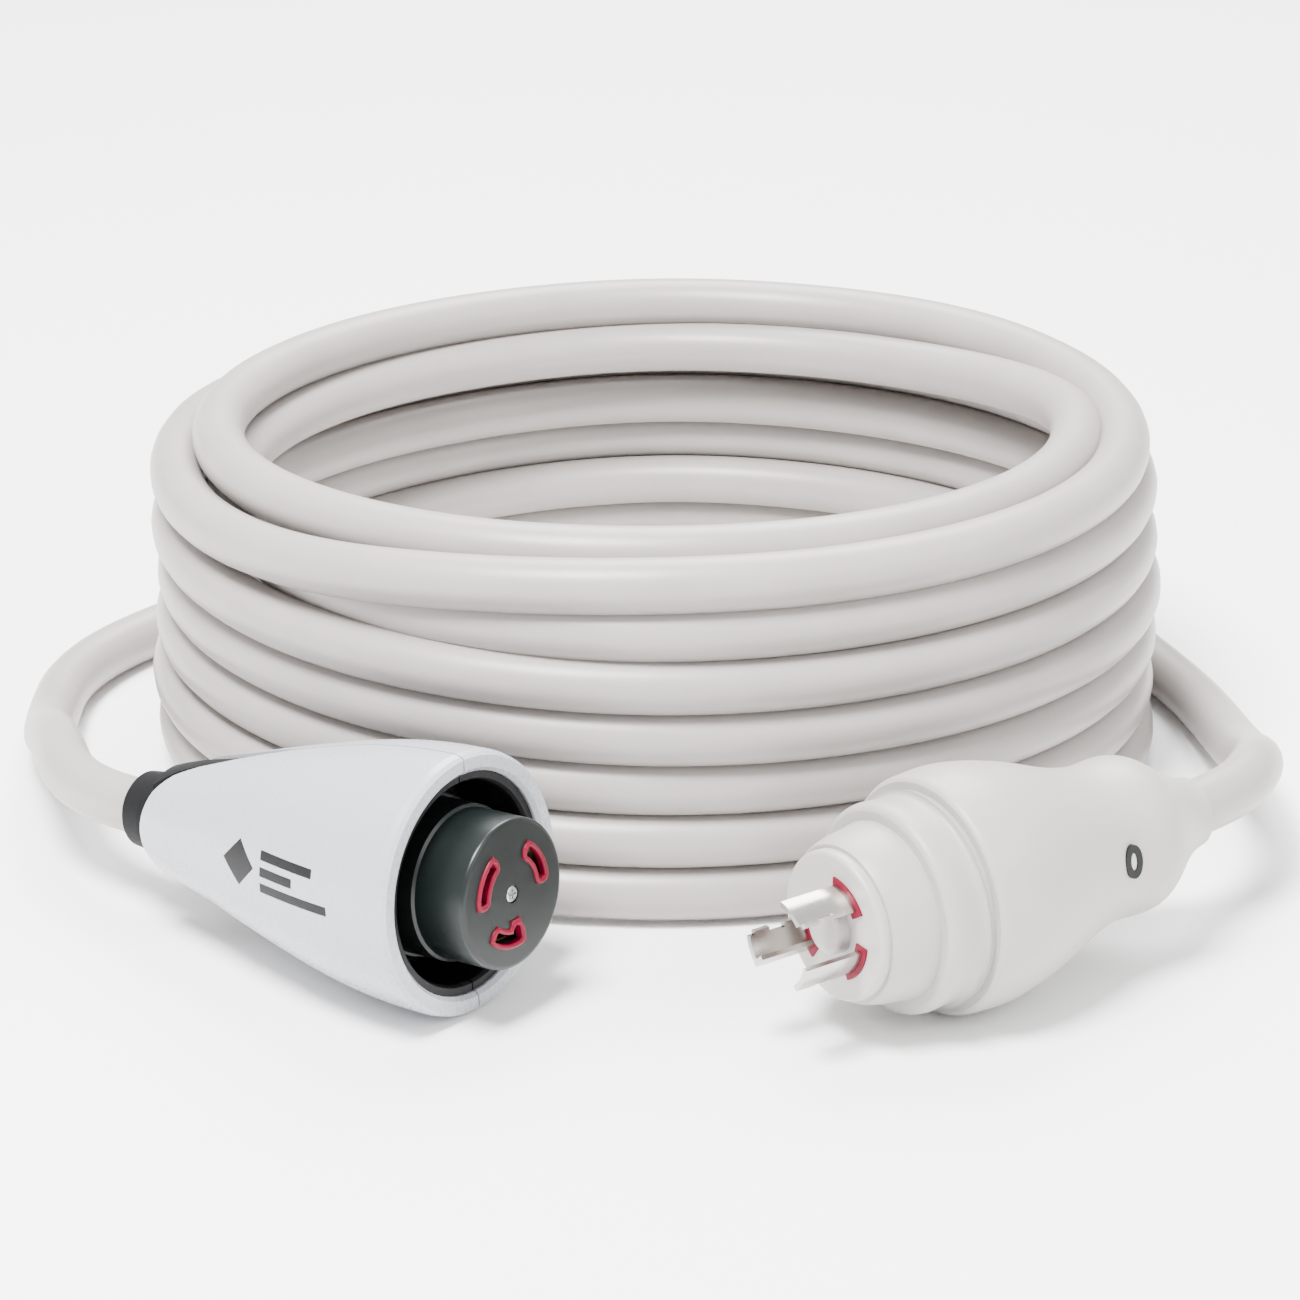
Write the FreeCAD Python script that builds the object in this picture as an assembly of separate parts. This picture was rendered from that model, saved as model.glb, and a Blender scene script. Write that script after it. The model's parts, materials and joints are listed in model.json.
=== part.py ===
import FreeCAD, Part
import math
import os

# Shore power cord: a coiled three-core cord with a clamping female connector at one
# end and a moulded male plug at the other, both lying on the floor before the coil.
# Millimetres and degrees.  +Z is up, the floor is z = 0, +X runs from the connector
# to the plug, and the origin is under the middle of those two.  Each end is drawn
# along its own X axis, which points out of its face, and is then set down in place.

V = FreeCAD.Vector

# ---- driving dimensions ------------------------------------------------------------
CORD_R = 8.0                     # three 10 AWG cores in a round jacket
WIRE_R = 1.9                     # one insulated core
WIRE_RING = 4.2                  # where the cores lie inside the jacket
TIGHT = 0.05                     # gap between fixed parts that fit
LOOSE = 0.06                     # radial running gap round a pivot pin

COIL_CENTRE = V(-2.0, 188.7, 0)
COIL_R = 146.3                   # centreline of the wall of turns
COIL_PITCH = 15.6                # height of one turn on the next
WALL_LEVELS = 7                  # turns in the wall

CONNECTOR_AT = V(-50.1, -208.6, 37.36)     # middle of the mouth, from the coil's centre
CONNECTOR_TURN = -37.34
CONNECTOR_TILT = 3.49
PLUG_AT = V(47.0, -228.0, 33.4)            # middle of the plug's face, likewise
PLUG_TURN = 216.14
PLUG_TILT = -1.11

NOSE_R = 21.0                    # round nose with the contact slots
NOSE_FRONT = 14.3                # how far it stands out of the mouth
MOUTH_R = 31.2                   # opening between the jaws
PIVOT_X = -58.0
PIVOT_Y = 13.0
PIVOT_R = 2.0
PIVOT_REACH = 22.8               # half length of a pivot pin
JAW_TAIL = -108.0
JAW_WALL = 3.0
SEAM = 0.25                      # half the gap between the closed jaws
GLAND_TAIL = -120.0

# Behind the pivots the gap between the jaws widens to bare the core: (x, half its width)
SLOT_EDGE = [(-80, 2.6), (-92, 5.2), (-100, 8.2), (-105, 11.8), (-108, 16.0), (-110, 20.0)]
# and the core's rib stands in that gap, clear of the jaws when they are squeezed
RIB_EDGE = [(-66, 0.3), (-80, 1.1), (-92, 2.8), (-100, 5.0), (-105, 7.6), (-108.6, 9.0)]

BLADE_RING = 12.5                # radius on which contacts and blades lie
BLADE_THICK = 1.6
BLADE_SPAN = 22.0                # half the angle that one blade covers
BLADE_LENGTH = 19.0
SLOT_ANGLES = {"line": 30.0, "neutral": 150.0, "ground": 255.0}
BLADE_ANGLES = {"line": 60.0, "neutral": 325.0, "ground": 205.0}
SLOT_CORES = {"line": 25.0, "neutral": 145.0, "ground": 265.0}     # the same in the jacket
BLADE_CORES = {"line": 70.0, "neutral": 310.0, "ground": 190.0}

PLUG_TAIL = -127.0
PLUG_FACE_R = 21.0
INDICATOR_X = -86.0
INDICATOR_TILT = 9.0

JACKET_END = -88.0               # where the jacket stops inside either end

nodes = {}


# ---- shape helpers -----------------------------------------------------------------
def turned(*pieces):
    """Solid turned about X.  A tuple is an (x, radius) corner, a list is a smooth curve."""
    edges = []
    first = last = None
    for piece in pieces:
        points = [V(x, 0, r) for x, r in (piece if isinstance(piece, list) else [piece])]
        if last is not None and last.distanceToPoint(points[0]) > 1e-6:
            edges.append(Part.LineSegment(last, points[0]).toShape())
        if len(points) > 1:
            curve = Part.BSplineCurve()
            curve.interpolate(points)
            edges.append(curve.toShape())
        first = first or points[0]
        last = points[-1]
    edges.append(Part.LineSegment(last, first).toShape())
    face = Part.Face(Part.Wire(edges))
    solid = face.revolve(V(0, 0, 0), V(1, 0, 0), 360)
    return Part.Solid(solid) if solid.ShapeType != "Solid" else solid


def rod(radius, x0, x1, y=0.0, z=0.0):
    return Part.makeCylinder(radius, x1 - x0, V(x0, y, z), V(1, 0, 0))


def sector(inner, outer, middle, half_span, x0, x1):
    """Part of a ring round X.  Angles are seen from the front, from +Y towards +Z."""
    pie = Part.makeCylinder(outer, x1 - x0, V(x0, 0, 0), V(1, 0, 0), 2 * half_span)
    pie = pie.cut(rod(inner, x0 - 1, x1 + 1))
    edge = pie.Solids[0].CenterOfMass
    now = math.degrees(math.atan2(edge.z, edge.y))
    pie.rotate(V(0, 0, 0), V(1, 0, 0), middle - now)
    return pie


def at_angle(ring, angle):
    """(y, z) of a point on a ring round X."""
    return ring * math.cos(math.radians(angle)), ring * math.sin(math.radians(angle))


def prism(outline, z0, z1):
    points = [V(x, y, z0) for x, y in outline]
    wire = Part.makePolygon(points + points[:1])
    return Part.Face(wire).extrude(V(0, 0, z1 - z0))


def rounded_route(points, name):
    """Straight runs joined by tangent arcs, each as large as its two runs allow."""
    edges = []
    radii = []
    start = points[0]
    for before, corner, after in zip(points, points[1:], points[2:]):
        back = (before - corner).normalize()
        ahead = (after - corner).normalize()
        turn = math.pi - back.getAngle(ahead)
        reach = 0.45 * min(before.distanceToPoint(corner), after.distanceToPoint(corner))
        radius = reach / math.tan(turn / 2)
        a = corner + back * reach
        b = corner + ahead * reach
        centre = corner + (back + ahead).normalize() * (radius / math.cos(turn / 2))
        middle = centre + (corner - centre).normalize() * radius
        edges.append(Part.LineSegment(start, a).toShape())
        edges.append(Part.Arc(a, middle, b).toShape())
        radii.append(round(radius, 1))
        start = b
    edges.append(Part.LineSegment(start, points[-1]).toShape())
    print(name, "arc radii", radii)
    return Part.Wire(edges)


def tube(points, radius, name):
    route = rounded_route(points, name)
    start = (points[1] - points[0]).normalize()
    ring = Part.Wire(Part.makeCircle(radius, points[0], start))
    solid = route.makePipeShell([ring], True, False)
    expected = math.pi * radius ** 2 * route.Length
    print(name, "length", round(route.Length, 1), "volume / expected",
          round(solid.Volume / expected, 4))
    return solid


def place(at, turn, tilt):
    spin = FreeCAD.Rotation(V(0, 0, 1), turn).multiply(FreeCAD.Rotation(V(0, 1, 0), -tilt))
    return FreeCAD.Placement(COIL_CENTRE + at, spin)


connector_place = place(CONNECTOR_AT, CONNECTOR_TURN, CONNECTOR_TILT)
plug_place = place(PLUG_AT, PLUG_TURN, PLUG_TILT)


def keep(name, shape, placement=None):
    if placement is not None:
        shape = shape.copy()
        shape.Placement = placement.multiply(shape.Placement)
    nodes[name] = shape


# ---- connector ---------------------------------------------------------------------
def jaw_outline(shrink):
    """Outside of the closed jaws as (x, radius), from the tail to the mouth."""
    curve = [(JAW_TAIL, 15.6), (-100, 18.0), (-88, 20.8), (-74, 24.6), (-58, 28.8),
             (-40, 33.0), (-22, 35.9), (-9, 36.8), (-3, 36.9)]
    return [(x, r - shrink) for x, r in curve]


def jaw_envelope(shrink):
    curve = jaw_outline(shrink)
    return turned((curve[0][0], 0), curve, (curve[-1][0], 0))


def jaw_side(side):
    """Everything that one jaw may fill, on the +Y side or the -Y side."""
    wide = 60
    tail = SLOT_EDGE[-1][0]
    outline = [(5, SEAM), (PIVOT_X, SEAM)] + SLOT_EDGE + [(tail, wide), (5, wide)]
    return prism([(x, side * y) for x, y in outline], -wide, wide)


def jaw(side):
    outside = turned((JAW_TAIL, 0), jaw_outline(0), (-1.0, 36.5), (0, 35.6), (0, 0))
    inner = [(x, r) for x, r in jaw_outline(JAW_WALL) if x <= -40] + [(-30, MOUTH_R)]
    hollow = turned((inner[0][0] - 1, 0), (inner[0][0] - 1, inner[0][1] + 0.4),
                    *[(x, r + 0.4 * (x < -100)) for x, r in inner],
                    (-1.2, MOUTH_R), (1, MOUTH_R + 2.0), (1, 0))
    shell = outside.cut(hollow)
    bosses = []
    for end in (-1, 1):
        z = 15.4 if end > 0 else -30
        boss = Part.makeCylinder(4.2, 14.6, V(PIVOT_X, side * PIVOT_Y, z))
        bosses.append(boss.common(jaw_envelope(1.0)))
    shell = shell.common(jaw_side(side)).fuse(bosses)
    hole = Part.makeCylinder(PIVOT_R + LOOSE, 2 * PIVOT_REACH + 0.6,
                             V(PIVOT_X, side * PIVOT_Y, -PIVOT_REACH - 0.3))
    return shell.cut(hole).removeSplitter()


def liner(side):
    """Black seal that lines the mouth, with a lip near its front."""
    ring = turned((-26, 29.6), (-26, MOUTH_R - TIGHT), (-2.0, MOUTH_R - TIGHT), (-2.0, 29.0),
                  (-3.0, 28.4), (-5.0, 28.4), (-6.5, 29.4))
    return ring.common(jaw_side(side))


def connector_core():
    outside = turned((-108.8, 0), (-108.8, 10.0), (-96, 12.4), (-84, 15), (-72, 17),
                     (-55, 17.2), (-52, 18.6), (-31.0, 18.6), (-31.0, 29.4), (-30.4, 30.2),
                     (-27.6, 30.2), (-27.0, 29.6), (-27.0, 0))
    rib_outline = RIB_EDGE + [(x, -y) for x, y in reversed(RIB_EDGE)]
    rib = prism(rib_outline, -40, 40).common(jaw_envelope(0.8))
    body = outside.fuse(rib)
    inside = [rod(CORD_R + TIGHT, -110, JACKET_END + 1), rod(9.0, JACKET_END + 1, -52),
              rod(15.0, -52, -26)]
    for side in (-1, 1):
        pin = Part.makeCylinder(PIVOT_R, 40, V(PIVOT_X, side * PIVOT_Y, -20))
        pocket = Part.makeCylinder(3.2, 12, V(-76, side * 10.4, 0), V(0, side, 0))
        inside += [pin, pocket]
    for cutter in inside:
        body = body.cut(cutter)
    return body.removeSplitter()


def slot_shape(name, grow, x0, x1):
    """One contact slot, grown all round; the ground slot has a leg towards the middle."""
    angle = SLOT_ANGLES[name]
    turn = math.degrees(grow / BLADE_RING)
    half = BLADE_THICK / 2 + 0.5
    shape = sector(BLADE_RING - half - grow, BLADE_RING + half + grow, angle, 25 + turn, x0, x1)
    if name == "ground":
        leg = sector(BLADE_RING - half - 2.6 - grow, BLADE_RING, angle + 17.5, 7.5 + turn, x0, x1)
        shape = shape.fuse(leg)
    return shape.removeSplitter()


def connector_insert():
    body = turned((-26.95, 0), (-26.95, 20), (-22, 20), (-22, 23.6), (-15.5, 23.6), (-14.5, 22.6),
                  (-14.5, 21.8), (-3, 21.8), (-2.4, NOSE_R), (13.1, NOSE_R),
                  [(13.1, NOSE_R), (13.95, NOSE_R - 0.35), (NOSE_FRONT, NOSE_R - 1.2)],
                  (NOSE_FRONT, 0))
    for name, angle in SLOT_ANGLES.items():
        y, z = at_angle(11.6, angle)
        body = body.cut(slot_shape(name, 0.3, -20, 20))
        body = body.cut(slot_shape(name, 1.3, 12.6, 20))
        body = body.cut(rod(2.9, -28, -19.3, y, z))
    body = body.cut(rod(1.5 + TIGHT, -28, 20)).cut(rod(2.5, 13.2, 20))
    return body.removeSplitter()


def slot_seal(name):
    return slot_shape(name, 1.3 - TIGHT, 12.65, NOSE_FRONT + 0.45).cut(slot_shape(name, 0.15, 12, 16))


def contact(angle):
    """Sprung brass contact: two leaves that grip a blade, and a barrel for the wire."""
    y, z = at_angle(11.6, angle)
    outer = sector(13.15, 13.75, angle, 22, -19, 10)
    inner = sector(11.3, 11.85, angle, 22, -19, 10)
    base = sector(11.3, 13.75, angle, 22, -19.8, -18.5)
    barrel = rod(2.6, -26.9, -19.5, y, z)
    return outer.fuse([inner, base, barrel]).removeSplitter()


def contact_carrier():
    disc = rod(14.9, -32.9, -27.05).cut(rod(1.5, -34, -26))
    for angle in SLOT_ANGLES.values():
        y, z = at_angle(11.6, angle)
        disc = disc.cut(rod(WIRE_R + 0.1, -34, -26, y, z))
    return disc


def face_screw():
    head = turned((13.25, 0), (13.25, 2.4), (13.9, 2.4), (14.2, 1.9), (14.2, 0))
    cross = Part.makeBox(2, 2.8, 0.5, V(13.7, -1.4, -0.25))
    cross = cross.fuse(Part.makeBox(2, 0.5, 2.8, V(13.7, -0.25, -1.4)))
    return head.fuse(rod(1.5, -33.0, 13.3)).cut(cross)


def jaw_spring(side):
    """Compression spring between the core's pocket and the inside of a jaw's tail."""
    free = 9.4
    turns = 5
    wire = 0.4
    radius = 2.4
    pitch = (free - 2 * wire) / turns
    helix = Part.makeHelix(pitch, pitch * turns, radius)
    start = Part.Wire(Part.makeCircle(wire, V(radius, 0, 0), V(0, 1, 0)))
    spring = Part.Wire(helix.Edges).makePipeShell([start], True, True)
    spring.rotate(V(0, 0, 0), V(1, 0, 0), -90 * side)
    spring.translate(V(-76, side * (10.5 + wire), 0))
    return spring


def core_wire(angle, jacket_angle, end_ring, end_x, bend_x, name):
    """One insulated core, from the cut jacket to its contact."""
    y0, z0 = at_angle(WIRE_RING, jacket_angle)
    y1, z1 = at_angle(end_ring, angle)
    points = [V(JACKET_END + 0.1, y0, z0), V(bend_x, y0, z0), V(end_x - 8, y1, z1),
              V(end_x, y1, z1)]
    return tube(points, WIRE_R, name)


def build_connector():
    where = connector_place
    keep("connector_core", connector_core(), where)
    keep("connector_insert", connector_insert(), where)
    keep("contact_carrier", contact_carrier(), where)
    keep("insert_screw", face_screw(), where)
    for side, hand in ((1, "right"), (-1, "left")):
        keep("jaw_" + hand, jaw(side), where)
        keep("jaw_liner_" + hand, liner(side), where)
        keep("jaw_spring_" + hand, jaw_spring(side), where)
        pin = Part.makeCylinder(PIVOT_R, 2 * PIVOT_REACH, V(PIVOT_X, side * PIVOT_Y, -PIVOT_REACH))
        keep("pivot_pin_" + hand, pin, where)
    gland = turned((GLAND_TAIL, CORD_R + TIGHT), (GLAND_TAIL, 10.0), (GLAND_TAIL + 1, 11.0),
                   (-113, 11.6), (-108.9, 11.6), (-108.9, CORD_R + TIGHT))
    keep("connector_gland", gland, where)
    for name, angle in SLOT_ANGLES.items():
        keep("slot_seal_" + name, slot_seal(name), where)
        keep("contact_" + name, contact(angle), where)
        wire = core_wire(angle, SLOT_CORES[name], 11.6, -26.95, -55.0, "connector wire")
        keep("connector_wire_" + name, wire, where)


# ---- plug --------------------------------------------------------------------------
def plug_body():
    outside = turned((-3, 0), (-3, 22.0), [(-3, 22.0), (-5, 22.9), (-10, 24.0), (-16.9, 25.1)],
                     (-16.9, 27.6), [(-16.9, 27.6), (-17.6, 28.8), (-19.2, 29.5), (-29.2, 30.7)],
                     (-29.9, 30.1), (-31.3, 30.1), (-31.3, 32.2),
                     [(-31.3, 32.2), (-32.2, 33.2), (-35, 33.8), (-42, 34.2), (-50, 33.4),
                      (-58, 31.6), (-66, 29.2), (-75, 25.8), (-84, 23.2), (-92, 22.3),
                      (-99, 22.7), (-104, 22.0), (-109, 19.4), (-114, 15.8), (-120, 12.2),
                      (PLUG_TAIL, 10.0)], (PLUG_TAIL, 0))
    inside = [rod(PLUG_FACE_R + TIGHT, -24.1, 0), rod(16, -74, -24), rod(11, JACKET_END + 1, -73),
              rod(CORD_R + TIGHT, PLUG_TAIL - 1, JACKET_END + 2)]
    inside.append(indicator_oval(4.85, 3.05, 10.0, 40))
    for cutter in inside:
        outside = outside.cut(cutter)
    return outside.removeSplitter()


def indicator_oval(high, wide, y0, y1):
    """Oval bar that points out of the side of the plug where the indicator sits."""
    ring = Part.Ellipse(V(0, 0, 0), high, wide).toShape()
    bar = Part.Face(Part.Wire(ring)).extrude(V(0, 0, y1 - y0))
    bar.rotate(V(0, 0, 0), V(0, 0, 1), 90)
    bar.rotate(V(0, 0, 0), V(1, 0, 0), -90)
    bar.translate(V(INDICATOR_X, y0, 0))
    bar.rotate(V(0, 0, 0), V(1, 0, 0), INDICATOR_TILT)
    return bar


def turn_indicator(shape):
    shape.rotate(V(0, 0, 0), V(1, 0, 0), INDICATOR_TILT)
    return shape


def plug_insert():
    body = turned((-24, 0), (-24, PLUG_FACE_R), (-1.2, PLUG_FACE_R),
                  [(-1.2, PLUG_FACE_R), (-0.35, PLUG_FACE_R - 0.35), (0, PLUG_FACE_R - 1.2)],
                  (0, 7.4), (2.6, 7.0), [(2.6, 7.0), (3.3, 6.4), (3.6, 5.2)], (3.6, 0))
    for name in BLADE_ANGLES:
        body = body.cut(blade_shape(name, TIGHT, -25, 5))
        body = body.cut(blade_shape(name, 1.5, -2, 5))
    return body.removeSplitter()


def blade_shape(name, grow, x0, x1):
    angle = BLADE_ANGLES[name]
    turn = math.degrees(grow / BLADE_RING)
    half = BLADE_THICK / 2
    span = BLADE_SPAN + turn
    shape = sector(BLADE_RING - half - grow, BLADE_RING + half + grow, angle, span, x0, x1)
    if name == "ground":
        leg = sector(BLADE_RING - half - 2.6 - grow, BLADE_RING, angle + 18, 4 + turn, x0, x1)
        shape = shape.fuse(leg)
    return shape.removeSplitter()


def blade(name):
    """Curved locking blade with a notch behind its tip, and a barrel for the wire."""
    angle = BLADE_ANGLES[name]
    shape = blade_shape(name, 0, -26, BLADE_LENGTH)
    notch = sector(9, 16, angle - BLADE_SPAN, 7, 7.5, 12.5)
    y, z = at_angle(BLADE_RING, angle)
    corner = sector(9, 16, angle - BLADE_SPAN, 5, BLADE_LENGTH - 1.6, BLADE_LENGTH + 1)
    return shape.cut(notch).cut(corner).fuse(rod(2.7, -36, -25.5, y, z)).removeSplitter()


def build_plug():
    where = plug_place
    keep("plug_body", plug_body(), where)
    keep("plug_insert", plug_insert(), where)
    for name, angle in BLADE_ANGLES.items():
        keep("blade_" + name, blade(name), where)
        seal = blade_shape(name, 1.5 - TIGHT, -1.95, 0.5).cut(blade_shape(name, TIGHT, -3, 2))
        keep("blade_seal_" + name, seal, where)
        wire = core_wire(angle, BLADE_CORES[name], BLADE_RING, -36.1, -66.0, "plug wire")
        keep("plug_wire_" + name, wire, where)
    bezel = indicator_oval(4.8, 3.0, 16.0, 23.7).cut(indicator_oval(2.5, 1.15, 15, 40))
    keep("indicator_bezel", bezel, where)
    keep("indicator_lens", indicator_oval(2.45, 1.1, 17.2, 23.3), where)
    led = Part.makeCylinder(1.1, 4.0, V(INDICATOR_X, 13.0, 0), V(0, 1, 0))
    keep("indicator_lamp", turn_indicator(led), where)
    board = Part.makeBox(4.4, 1.4, 7.0, V(INDICATOR_X - 2.2, 11.5, -3.5))
    keep("indicator_board", turn_indicator(board), where)


# ---- cord --------------------------------------------------------------------------
def on_ring(radius, angle, z):
    """A point round the coil's centre; the angle goes from +X towards +Y."""
    a = math.radians(angle)
    return COIL_CENTRE + V(radius * math.cos(a), radius * math.sin(a), z)


def coil_sector(inner, outer, z0, z1, start, span):
    """Upright part of a ring round the coil's centre, from one angle on."""
    pie = Part.makeCylinder(outer, z1 - z0, COIL_CENTRE + V(0, 0, z0), V(0, 0, 1), span)
    pie = pie.cut(Part.makeCylinder(inner, z1 - z0 + 2, COIL_CENTRE + V(0, 0, z0 - 1)))
    pie.rotate(COIL_CENTRE, V(0, 0, 1), start)
    return pie


def coil():
    """Outer shape of the wound turns: a hollow drum, a thick top and the crossing behind."""
    top = (WALL_LEVELS - 1) * COIL_PITCH
    inner = COIL_R - CORD_R
    outer = COIL_R + CORD_R
    outline = [(inner, 0), (outer, 0), (outer + 2, top - 6), (outer + 2, top + 12),
               (outer - 4, top + 22), (inner - 10, top + 24), (inner - 16, top + 14),
               (inner - 15, top), (inner, top - 12)]
    points = [COIL_CENTRE + V(x, 0, z) for x, z in outline]
    face = Part.Face(Part.makePolygon(points + points[:1]))
    drum = face.revolve(COIL_CENTRE, V(0, 0, 1), 360)
    drum = Part.Solid(drum) if drum.ShapeType != "Solid" else drum
    behind = coil_sector(outer - 3, outer + 22, 0, top + 6, 25, 135)
    return drum.fuse(behind).removeSplitter()


def connector_lead():
    tail = connector_place.multVec
    return [tail(V(JACKET_END - 0.1, 0, 0)), tail(V(-148, 0, 0)),
            on_ring(192.0, 201.0, 25.8), on_ring(189.0, 186.5, CORD_R),
            on_ring(190.0, 170.0, CORD_R), on_ring(178.5, 154.0, CORD_R),
            on_ring(166.0, 138.0, CORD_R), on_ring(155.5, 121.0, CORD_R)]


def plug_lead():
    tail = plug_place.multVec
    return [tail(V(JACKET_END - 0.1, 0, 0)), tail(V(-141, 0, 0)),
            on_ring(209.0, -33.4, 35.7), on_ring(186.5, -18.6, 15.5),
            on_ring(171.3, 1.3, CORD_R), on_ring(165.0, 14.0, CORD_R),
            on_ring(164.0, 30.0, CORD_R + 2)]


def build_cord():
    keep("cord_coil", coil())
    keep("cord_lead_connector", tube(connector_lead(), CORD_R, "connector lead"))
    keep("cord_lead_plug", tube(plug_lead(), CORD_R, "plug lead"))


build_connector()
build_plug()
build_cord()

os.makedirs("parts", exist_ok=True)
for name, shape in nodes.items():
    if len(shape.Solids) == 1:
        shape = shape.Solids[0]
    if not shape.isValid() or not shape.Solids:
        print("CHECK", name, "valid", shape.isValid(), "solids", len(shape.Solids))
    shape.exportStep("parts/" + name + ".step")
own = Part.makeCompound([s for n, s in nodes.items() if not n.startswith("cord_")]).BoundBox
print("own box", [round(v, 2) for v in (own.XMin, own.XMax, own.YMin, own.YMax, own.ZMin, own.ZMax)])
print(len(nodes), "nodes")
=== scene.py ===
"""Looks of the shore power cord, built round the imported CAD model.  Metres, +Z up."""

import json
import math

import bmesh
import bpy
from mathutils import Matrix, Vector
from mathutils.bvhtree import BVHTree


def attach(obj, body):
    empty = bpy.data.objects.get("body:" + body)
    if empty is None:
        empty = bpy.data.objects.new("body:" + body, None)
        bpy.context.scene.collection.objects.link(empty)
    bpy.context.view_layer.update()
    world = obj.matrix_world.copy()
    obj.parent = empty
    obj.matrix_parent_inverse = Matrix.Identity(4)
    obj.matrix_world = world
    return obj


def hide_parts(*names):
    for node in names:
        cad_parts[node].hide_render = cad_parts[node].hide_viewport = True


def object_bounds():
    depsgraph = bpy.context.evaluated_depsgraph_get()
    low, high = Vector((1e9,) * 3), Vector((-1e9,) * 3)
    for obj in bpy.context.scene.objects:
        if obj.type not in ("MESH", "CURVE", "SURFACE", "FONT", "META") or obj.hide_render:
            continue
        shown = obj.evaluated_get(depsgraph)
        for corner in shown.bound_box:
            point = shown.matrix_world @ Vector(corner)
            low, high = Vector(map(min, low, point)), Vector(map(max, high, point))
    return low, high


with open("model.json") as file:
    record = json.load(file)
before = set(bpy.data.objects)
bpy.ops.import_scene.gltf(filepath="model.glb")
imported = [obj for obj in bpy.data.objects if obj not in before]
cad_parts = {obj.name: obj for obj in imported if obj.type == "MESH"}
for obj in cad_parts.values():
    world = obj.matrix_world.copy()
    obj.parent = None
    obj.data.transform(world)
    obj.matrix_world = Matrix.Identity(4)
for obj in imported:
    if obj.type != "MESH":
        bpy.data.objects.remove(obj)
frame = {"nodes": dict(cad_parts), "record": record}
cad_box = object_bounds()

# ---- sizes shared with the CAD model, in metres ------------------------------------
MM = 0.001
CORD_R = 8.0 * MM
CORD_D = 2 * CORD_R
COIL_CENTRE = Vector((-2.0, 188.7, 0.0)) * MM
COIL_R = 146.3 * MM
COIL_PITCH = 15.6 * MM
CONNECTOR_AT = COIL_CENTRE + Vector((-50.1, -208.6, 37.36)) * MM
CONNECTOR_TURN, CONNECTOR_TILT = -37.34, 3.49
PLUG_AT = COIL_CENTRE + Vector((47.0, -228.0, 33.4)) * MM
PLUG_TURN, PLUG_TILT = 216.14, -1.11


def place(at, turn, tilt):
    """Where one end's own frame stands: its +X points out of its face."""
    spin = Matrix.Rotation(math.radians(turn), 4, "Z")
    lean = Matrix.Rotation(-math.radians(tilt), 4, "Y")
    return Matrix.Translation(at) @ (spin @ lean)


connector_place = place(CONNECTOR_AT, CONNECTOR_TURN, CONNECTOR_TILT)
plug_place = place(PLUG_AT, PLUG_TURN, PLUG_TILT)


# ---- camera ------------------------------------------------------------------------
CAMERA_BACK = 1419.7 * MM        # from the coil's centre, along -Y
CAMERA_HIGH = 553.9 * MM
CAMERA_ASIDE = -1.9 * MM
CAMERA_DOWN = 20.34              # degrees below level
CAMERA_LENS = 134.8              # millimetres on a 36 mm sensor


def add_camera():
    data = bpy.data.cameras.new("camera")
    data.lens = CAMERA_LENS
    data.sensor_width = 36
    data.clip_start = 0.05
    data.clip_end = 50
    camera = bpy.data.objects.new("camera", data)
    bpy.context.scene.collection.objects.link(camera)
    camera.location = COIL_CENTRE + Vector((CAMERA_ASIDE, -CAMERA_BACK, CAMERA_HIGH))
    camera.rotation_euler = (math.radians(90 - CAMERA_DOWN), 0, 0)
    bpy.context.scene.camera = camera


add_camera()


# ---- cord --------------------------------------------------------------------------
COIL_STEPS = 16                  # control points in one turn
WALL_TURNS = 5.5                 # turns of the plain wall, before the top ones
TAIL_TURN = 8.12                 # where the last turn reaches the floor

# One turn of the wall: how far round, and its climb in pitches.  It climbs at the left.
WALL_CLIMB = [(0, 0), (0.25, 0.0), (0.5, 0.05), (0.75, 0.3), (1, 1)]
BACK_SQUEEZE = 0.085             # share by which the turns lie closer together at the back
BACK_STAGGER = 0.2               # how far they lie in and out by turns there, in diameters
WANDERS = [(0.9 * MM, 4.4, 0), (0.6 * MM, 11.3, 1)]     # uneven winding: size, rate, phase

# The top turns and the drop to the floor behind: turn, diameters out from the wall, level.
TOP_TURNS = [
    (5.5, 0, 5.02), (5.56, -0.2, 4.96), (5.62, -0.55, 4.9), (5.69, -0.9, 4.9),
    (5.75, -1.05, 4.95), (5.88, -0.9, 5.26), (6.0, -0.78, 5.49), (6.12, -0.9, 5.56),
    (6.25, -1.2, 6.0), (6.5, -0.98, 6.2), (6.75, -0.77, 5.96), (6.88, -0.88, 6.27),
    (7.0, -0.72, 6.45), (7.12, -0.37, 6.32), (7.25, -0.33, 5.9), (7.5, 0, 5.98),
    (7.56, 0, 5.82), (7.62, 0.03, 5.48), (7.69, 0, 5.32), (7.75, -0.05, 5.34),
    (7.81, 0.2, 5.4), (7.88, 1.15, 4.95), (7.94, 1.3, 4.2), (8.0, 1.35, 3.3),
    (8.06, 1.35, 2.1), (8.12, 1.2, 0.7),
]

# The free ends in millimetres: along each end's own axis, then (ring, angle, height).
CONNECTOR_EXIT = (-120.0, -148.0)
CONNECTOR_LEAD = [(192.0, 201.0, 25.8), (189.0, 186.5, 8.0), (190.0, 170.0, 8.0),
                  (178.5, 154.0, 8.0), (166.0, 138.0, 8.0), (155.5, 121.0, 8.0)]
PLUG_EXIT = (-108.0, -141.0)     # starts inside the plug's moulding
PLUG_LEAD = [(209.0, -33.4, 35.7), (186.5, -18.6, 15.5), (171.3, 1.3, 8.0),
             (165.0, 14.0, 8.0), (164.0, 30.0, 10.0)]


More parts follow.
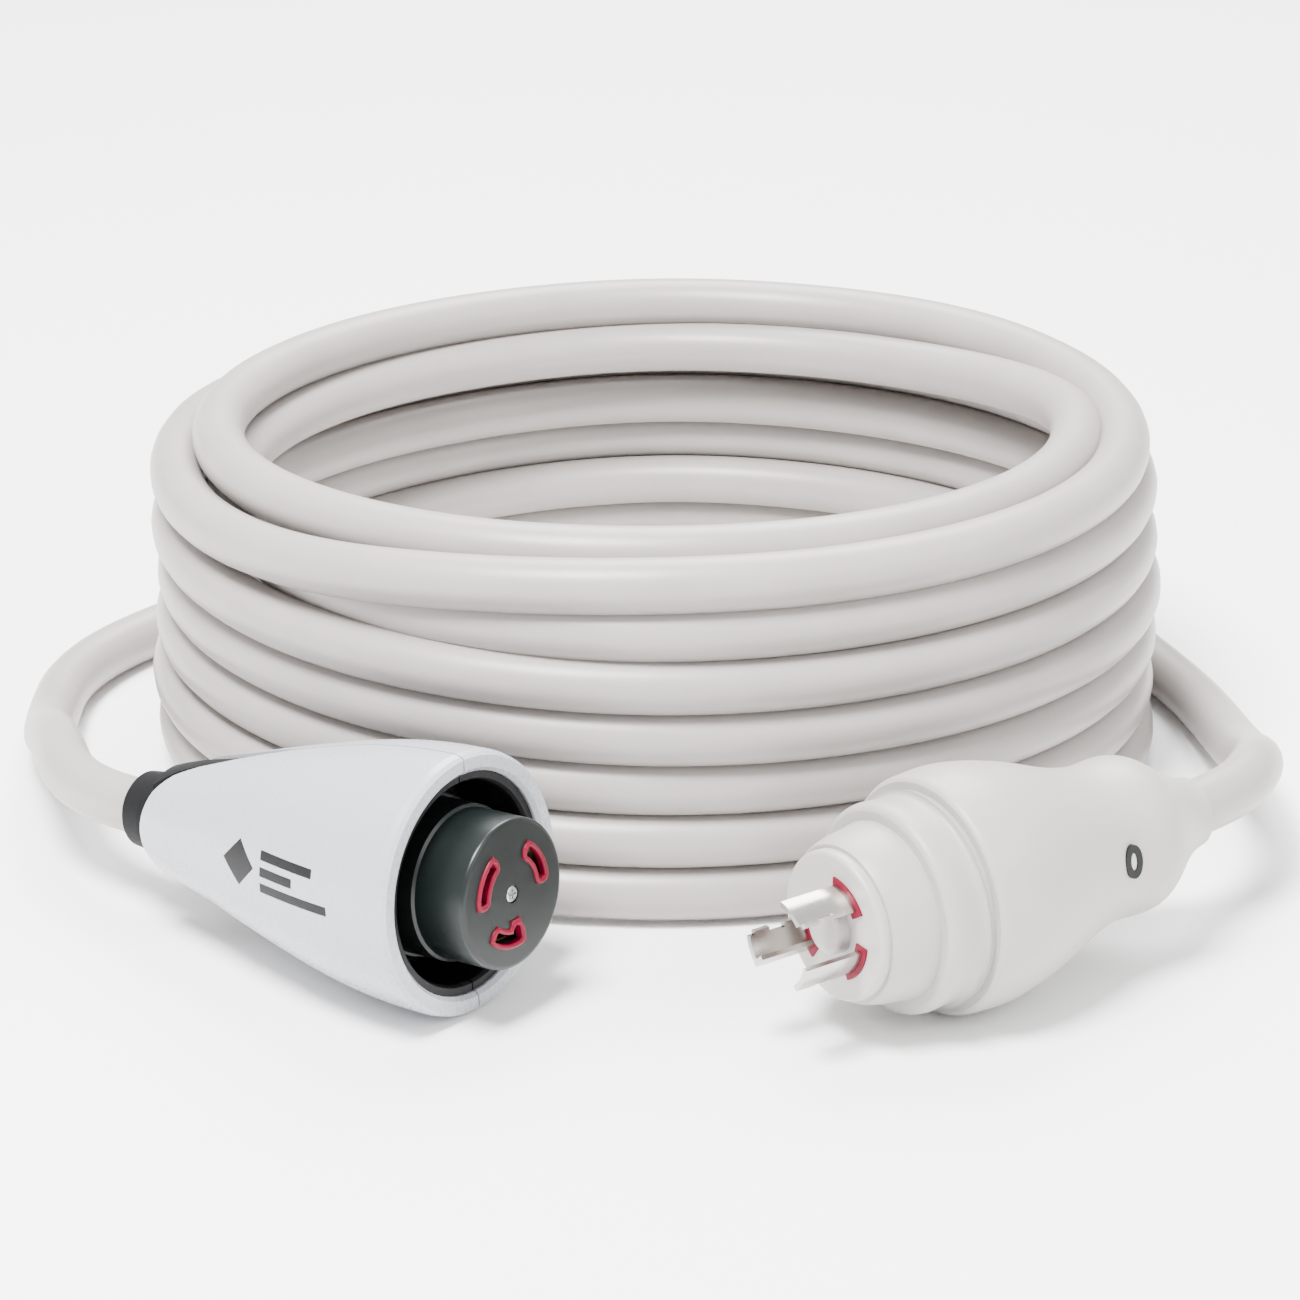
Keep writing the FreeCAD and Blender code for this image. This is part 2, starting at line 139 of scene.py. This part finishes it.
def between(table, key):
    """Row of the table at the key, worked out along a straight line between two rows."""
    for low, high in zip(table, table[1:]):
        if key <= high[0]:
            share = max(0.0, (key - low[0]) / (high[0] - low[0]))
            return [a + (b - a) * share for a, b in zip(low[1:], high[1:])]
    return list(table[-1][1:])


def on_ring(radius, angle, z):
    a = math.radians(angle)
    return COIL_CENTRE + Vector((radius * math.cos(a), radius * math.sin(a), z))


def coil_point(turn):
    """Control point of the coil; it is wound clockwise from above, from the back."""
    if turn < WALL_TURNS:
        outwards = 0.0
        level = math.floor(turn) + between(WALL_CLIMB, turn % 1)[0]
    else:
        outwards, level = between(TOP_TURNS, turn)
    behind = max(0.0, math.cos(2 * math.pi * turn))
    outwards += BACK_STAGGER * behind * (1 if round(turn) % 2 else -1)
    level *= 1 - BACK_SQUEEZE * behind
    wander = sum(size * math.sin(rate * turn + phase) for size, rate, phase in WANDERS)
    radius = (COIL_R + outwards * CORD_D + wander) / math.cos(math.pi / COIL_STEPS)
    return on_ring(radius, 90 - 360 * turn, CORD_R + level * COIL_PITCH)


def lead(end, straight, rings):
    """Control points of one free end, from its plug or connector to the coil."""
    points = [end @ Vector((x * MM, 0, 0)) for x in straight]
    return points + [on_ring(r * MM, angle, z * MM) for r, angle, z in rings]


def cord_route():
    steps = int(TAIL_TURN * COIL_STEPS)
    turns = [coil_point(i / COIL_STEPS) for i in range(steps + 1)]
    return (lead(connector_place, CONNECTOR_EXIT, CONNECTOR_LEAD) + turns
            + lead(plug_place, PLUG_EXIT, PLUG_LEAD)[::-1])


def nurbs(name, points, radius, bevel_steps):
    """Round tube along a smooth curve that is tangent to its control polygon."""
    curve = bpy.data.curves.new(name, "CURVE")
    curve.dimensions = "3D"
    spline = curve.splines.new("NURBS")
    spline.points.add(len(points) - 1)
    for point, at in zip(spline.points, points):
        point.co = (*at, 1)
        point.radius = radius    # times a bevel of one metre, which keeps the bounds true
    spline.order_u = 3
    curve.resolution_u = 8
    curve.bevel_depth = 1.0
    curve.bevel_resolution = bevel_steps
    tube = bpy.data.objects.new(name, curve)
    bpy.context.scene.collection.objects.link(tube)
    return tube, spline


def add_cord():
    points = cord_route()
    cord, spline = nurbs("power_cord", points, CORD_R, 7)
    spline.use_endpoint_u = True
    cord.data.use_fill_caps = True
    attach(cord, "root")
    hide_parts("cord_coil", "cord_lead_connector", "cord_lead_plug")
    return cord, points[0]


cord, cord_exit = add_cord()


# ---- materials ---------------------------------------------------------------------
COAT_ROUGHNESS = 0.25
SOFT_DEPTH = 0.002               # how far light spreads under a soft surface
MOTTLE_SCALE, MOTTLE_DETAIL = 38, 5
MOTTLE_DARK, MOTTLE_LIGHT = 0.3, 0.7     # noise below and above these has the plain tints
GRAIN_SCALE, GRAIN_DETAIL = 900, 3
GRAIN_DEPTH = 0.0004
GLOSS_BELOW, GLOSS_ABOVE = 0.06, 0.08    # roughness wanders this far to each side


def noise(nodes, scale, detail):
    made = nodes.new("ShaderNodeTexNoise")
    made.inputs["Scale"].default_value = scale
    made.inputs["Detail"].default_value = detail
    return made


def material(name, colour, rough, metal=0.0, coat=0.0, mottle=0.04, bump=0.05, shine=0.5,
             subsurface=0.0):
    """Moulded or stamped finish: slight mottling, uneven gloss and a fine grain."""
    made = bpy.data.materials.new(name)
    made.use_nodes = True
    nodes, links = made.node_tree.nodes, made.node_tree.links
    shader = nodes["Principled BSDF"]
    shader.inputs["Metallic"].default_value = metal
    shader.inputs["Coat Weight"].default_value = coat
    shader.inputs["Coat Roughness"].default_value = COAT_ROUGHNESS
    shader.inputs["Specular IOR Level"].default_value = shine
    shader.inputs["Subsurface Weight"].default_value = subsurface
    shader.inputs["Subsurface Scale"].default_value = SOFT_DEPTH
    where = nodes.new("ShaderNodeTexCoord")
    broad = noise(nodes, MOTTLE_SCALE, MOTTLE_DETAIL)
    fine = noise(nodes, GRAIN_SCALE, GRAIN_DETAIL)
    for texture in (broad, fine):
        links.new(where.outputs["Object"], texture.inputs["Vector"])
    tint = nodes.new("ShaderNodeValToRGB")
    dark = [c * (1 - 2 * mottle) for c in colour]
    light = [min(1, c * (1 + mottle)) for c in colour]
    tint.color_ramp.elements[0].position = MOTTLE_DARK
    tint.color_ramp.elements[1].position = MOTTLE_LIGHT
    tint.color_ramp.elements[0].color = (*dark, 1)
    tint.color_ramp.elements[1].color = (*light, 1)
    links.new(broad.outputs["Fac"], tint.inputs["Fac"])
    links.new(tint.outputs["Color"], shader.inputs["Base Color"])
    gloss = nodes.new("ShaderNodeMapRange")
    gloss.inputs["To Min"].default_value = max(0.05, rough - GLOSS_BELOW)
    gloss.inputs["To Max"].default_value = min(1, rough + GLOSS_ABOVE)
    links.new(fine.outputs["Fac"], gloss.inputs["Value"])
    links.new(gloss.outputs["Result"], shader.inputs["Roughness"])
    relief = nodes.new("ShaderNodeBump")
    relief.inputs["Strength"].default_value = bump
    relief.inputs["Distance"].default_value = GRAIN_DEPTH
    links.new(fine.outputs["Fac"], relief.inputs["Height"])
    links.new(relief.outputs["Normal"], shader.inputs["Normal"])
    return made


FINISHES = {
    "jacket_white": material("jacket_white", (0.315, 0.290, 0.276), 0.38, mottle=0.03, bump=0.07,
                             subsurface=0.05),
    "jaw_white": material("jaw_white", (0.35, 0.36, 0.392), 0.27, coat=0.15, mottle=0.01,
                          bump=0.01),
    "plug_white": material("plug_white", (0.335, 0.322, 0.305), 0.42, mottle=0.02, bump=0.05,
                           subsurface=0.05),
    "insert_white": material("insert_white", (0.38, 0.362, 0.348), 0.33, mottle=0.015, bump=0.03),
    "charcoal": material("charcoal", (0.008, 0.008, 0.009), 0.55, mottle=0.12, bump=0.1,
                         shine=0.08),
    "black_insert": material("black_insert", (0.004, 0.0065, 0.006), 0.3, mottle=0.2,
                             bump=0.04, shine=0.3),
    "black_rubber": material("black_rubber", (0.003, 0.003, 0.0035), 0.5, mottle=0.2,
                             bump=0.1, shine=0.25),
    "red_seal": material("red_seal", (0.14, 0.002, 0.016), 0.38, mottle=0.12, bump=0.08,
                         shine=0.14),
    "nickel": material("nickel", (0.50, 0.47, 0.44), 0.22, metal=1.0, mottle=0.06, bump=0.05),
    "brass": material("brass", (0.60, 0.42, 0.18), 0.28, metal=1.0, mottle=0.1, bump=0.05),
    "steel": material("steel", (0.45, 0.45, 0.46), 0.28, metal=1.0, mottle=0.06, bump=0.08),
    "wire_black": material("wire_black", (0.015, 0.015, 0.015), 0.4),
    "wire_white": material("wire_white", (0.58, 0.58, 0.56), 0.4),
    "wire_green": material("wire_green", (0.02, 0.2, 0.05), 0.4),
    "lens_grey": material("lens_grey", (0.42, 0.42, 0.40), 0.18, coat=0.4),
    "lamp_amber": material("lamp_amber", (0.6, 0.22, 0.03), 0.2, coat=0.4),
    "board_green": material("board_green", (0.01, 0.12, 0.05), 0.4, coat=0.2),
    "print_dark": material("print_dark", (0.003, 0.003, 0.003), 0.4, mottle=0.1, bump=0.02,
                           shine=0.15),
}

SLOTS = {part["node"]: part["material_slot"] for part in frame["record"]["subparts"]}
for node, thing in frame["nodes"].items():
    for holder in thing.material_slots:
        holder.material = FINISHES[SLOTS[node]]
cord.data.materials.append(FINISHES["jacket_white"])


# ---- soft lips round the contact slots ---------------------------------------------
SLOT_ANGLES = {"line": 30.0, "neutral": 150.0, "ground": 255.0}
SLOT_RING = 12.5                 # millimetres, as in the CAD model
NOSE_FRONT = 14.3
LIP_R = 0.75
LIP_OUT, LIP_IN = 14.55, 10.45   # the lip's two sides
LIP_HALF = 27.0                  # degrees to each end
LIP_ROUND = 5.0                  # degrees by which the middle of an end stands out
LEG_IN = 8.2                     # how far in the ground slot's leg reaches
LEG_SPAN = (8.0, 27.0)           # degrees from the slot's middle
LEG_ROUND, LEG_FLARE = 0.9, 3.0  # its corners lie this much further out, and wider in degrees


def lip_route(middle, with_leg):
    """Corners of one lip as (radius, angle), once round."""
    outer = [(LIP_OUT, middle + LIP_HALF * k / 3) for k in range(-3, 4)]
    if with_leg:
        near, far = LEG_SPAN
        inner = [(LEG_IN + LEG_ROUND, middle + far + LEG_FLARE),
                 (LEG_IN, middle + (near + far) / 2),
                 (LEG_IN + LEG_ROUND, middle + near), (LIP_IN, middle + near - LEG_FLARE)]
        inner += [(LIP_IN, middle - LIP_HALF * k / 3) for k in (1, 2, 3)]
    else:
        inner = [(LIP_IN, middle - LIP_HALF * k / 3) for k in range(-3, 4)]
    far_end = (SLOT_RING, middle + LIP_HALF + LIP_ROUND)
    near_end = (SLOT_RING, middle - LIP_HALF - LIP_ROUND)
    return outer + [far_end] + inner + [near_end]


def add_lip(name, middle, with_leg):
    points = []
    for radius, angle in lip_route(middle, with_leg):
        a = math.radians(angle)
        at = Vector((NOSE_FRONT, radius * math.cos(a), radius * math.sin(a))) * MM
        points.append(connector_place @ at)
    lip, spline = nurbs(name, points, LIP_R * MM, 5)
    spline.use_cyclic_u = True
    lip.data.materials.append(FINISHES["red_seal"])
    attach(lip, "root")


for slot, middle in SLOT_ANGLES.items():
    add_lip("slot_lip_" + slot, middle, slot == "ground")


# ---- printed mark on the side of one jaw -------------------------------------------
MARK_LIFT = 0.06 * MM            # the print stands this far off the shell
MARK_RISE = 4.5                  # height of the mark's middle over the axis, millimetres
MARK_START = -80                 # each point is thrown at the shell from this far aside
# Each patch is four corners: along the axis from the mouth, and height from the mark's middle.
DIAMOND = [(-66, 0), (-59, 6.4), (-52, 0), (-59, -6.4)]
BARS = [[(-49, 5.8), (-27, 5.8), (-27, 3.2), (-49, 3.2)],
        [(-49, 1.3), (-35, 1.3), (-35, -1.3), (-49, -1.3)],
        [(-49, -3.2), (-21, -3.2), (-21, -5.8), (-49, -5.8)]]
PATCH_STEPS = 12


def on_shell(tree, along, high):
    """Point just off the outside of the jaw, on the connector's -Y side."""
    start = connector_place @ (Vector((along, MARK_START, high + MARK_RISE)) * MM)
    ahead = connector_place.to_3x3() @ Vector((0, 1, 0))
    where, normal = tree.ray_cast(start, ahead)[:2]
    return where + normal * MARK_LIFT


def add_mark():
    shell = frame["nodes"]["jaw_left"]
    tree = BVHTree.FromObject(shell, bpy.context.evaluated_depsgraph_get())
    mesh = bmesh.new()
    for a, b, c, d in [DIAMOND] + BARS:
        rows = []
        for i in range(PATCH_STEPS + 1):
            down = i / PATCH_STEPS
            left = Vector(a).lerp(Vector(d), down)
            right = Vector(b).lerp(Vector(c), down)
            spots = [left.lerp(right, j / PATCH_STEPS) for j in range(PATCH_STEPS + 1)]
            rows.append([mesh.verts.new(shell.matrix_world @ on_shell(tree, *spot))
                         for spot in spots])
        for upper, lower in zip(rows, rows[1:]):
            for j in range(PATCH_STEPS):
                mesh.faces.new((upper[j], lower[j], lower[j + 1], upper[j + 1]))
    data = bpy.data.meshes.new("jaw_mark")
    mesh.to_mesh(data)
    mesh.free()
    data.materials.append(FINISHES["print_dark"])
    mark = bpy.data.objects.new("jaw_mark", data)
    bpy.context.scene.collection.objects.link(mark)
    body = mark.modifiers.new("body", "SOLIDIFY")
    body.thickness = 2 * MARK_LIFT
    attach(mark, "jaw_left")


add_mark()


# ---- floor and light ---------------------------------------------------------------
FLOOR_HALF = 6.0
FLOOR_GAP = 0.0002               # under the lowest point of the model
FLOOR_WHITE, FLOOR_ROUGH = 0.97, 0.75
LIGHT_AIM = Vector((0, 0.1, 0.04))
# Name, place, width, power.
LIGHTS = [("key", (-0.45, -0.6, 1.75), 0.7, 150), ("fill", (1.1, -0.8, 0.9), 1.1, 14),
          ("back", (0.1, 1.2, 1.5), 1.2, 66)]
WORLD_STRENGTH = 1.6


def add_floor():
    half = FLOOR_HALF
    data = bpy.data.meshes.new("floor")
    data.from_pydata([(-half, -half, 0), (half, -half, 0), (half, half, 0), (-half, half, 0)],
                     [], [(0, 1, 2, 3)])
    floor = bpy.data.objects.new("floor", data)
    floor.location = (0, 0, cad_box[0][2] - FLOOR_GAP)
    bpy.context.scene.collection.objects.link(floor)
    paint = bpy.data.materials.new("floor_paint")
    paint.use_nodes = True
    shader = paint.node_tree.nodes["Principled BSDF"]
    shader.inputs["Base Color"].default_value = (FLOOR_WHITE,) * 3 + (1,)
    shader.inputs["Roughness"].default_value = FLOOR_ROUGH
    data.materials.append(paint)


def add_light(name, at, size, power):
    data = bpy.data.lights.new(name, "AREA")
    data.shape = "DISK"
    data.size = size
    data.energy = power
    light = bpy.data.objects.new(name, data)
    light.location = at
    light.rotation_euler = (Vector(at) - LIGHT_AIM).to_track_quat("Z", "Y").to_euler()
    bpy.context.scene.collection.objects.link(light)


def add_world():
    world = bpy.data.worlds.new("studio")
    world.use_nodes = True
    background = world.node_tree.nodes["Background"]
    background.inputs["Color"].default_value = (1, 1, 1, 1)
    background.inputs["Strength"].default_value = WORLD_STRENGTH
    bpy.context.scene.world = world


add_floor()
for light_row in LIGHTS:
    add_light(*light_row)
add_world()

bpy.context.view_layer.update()
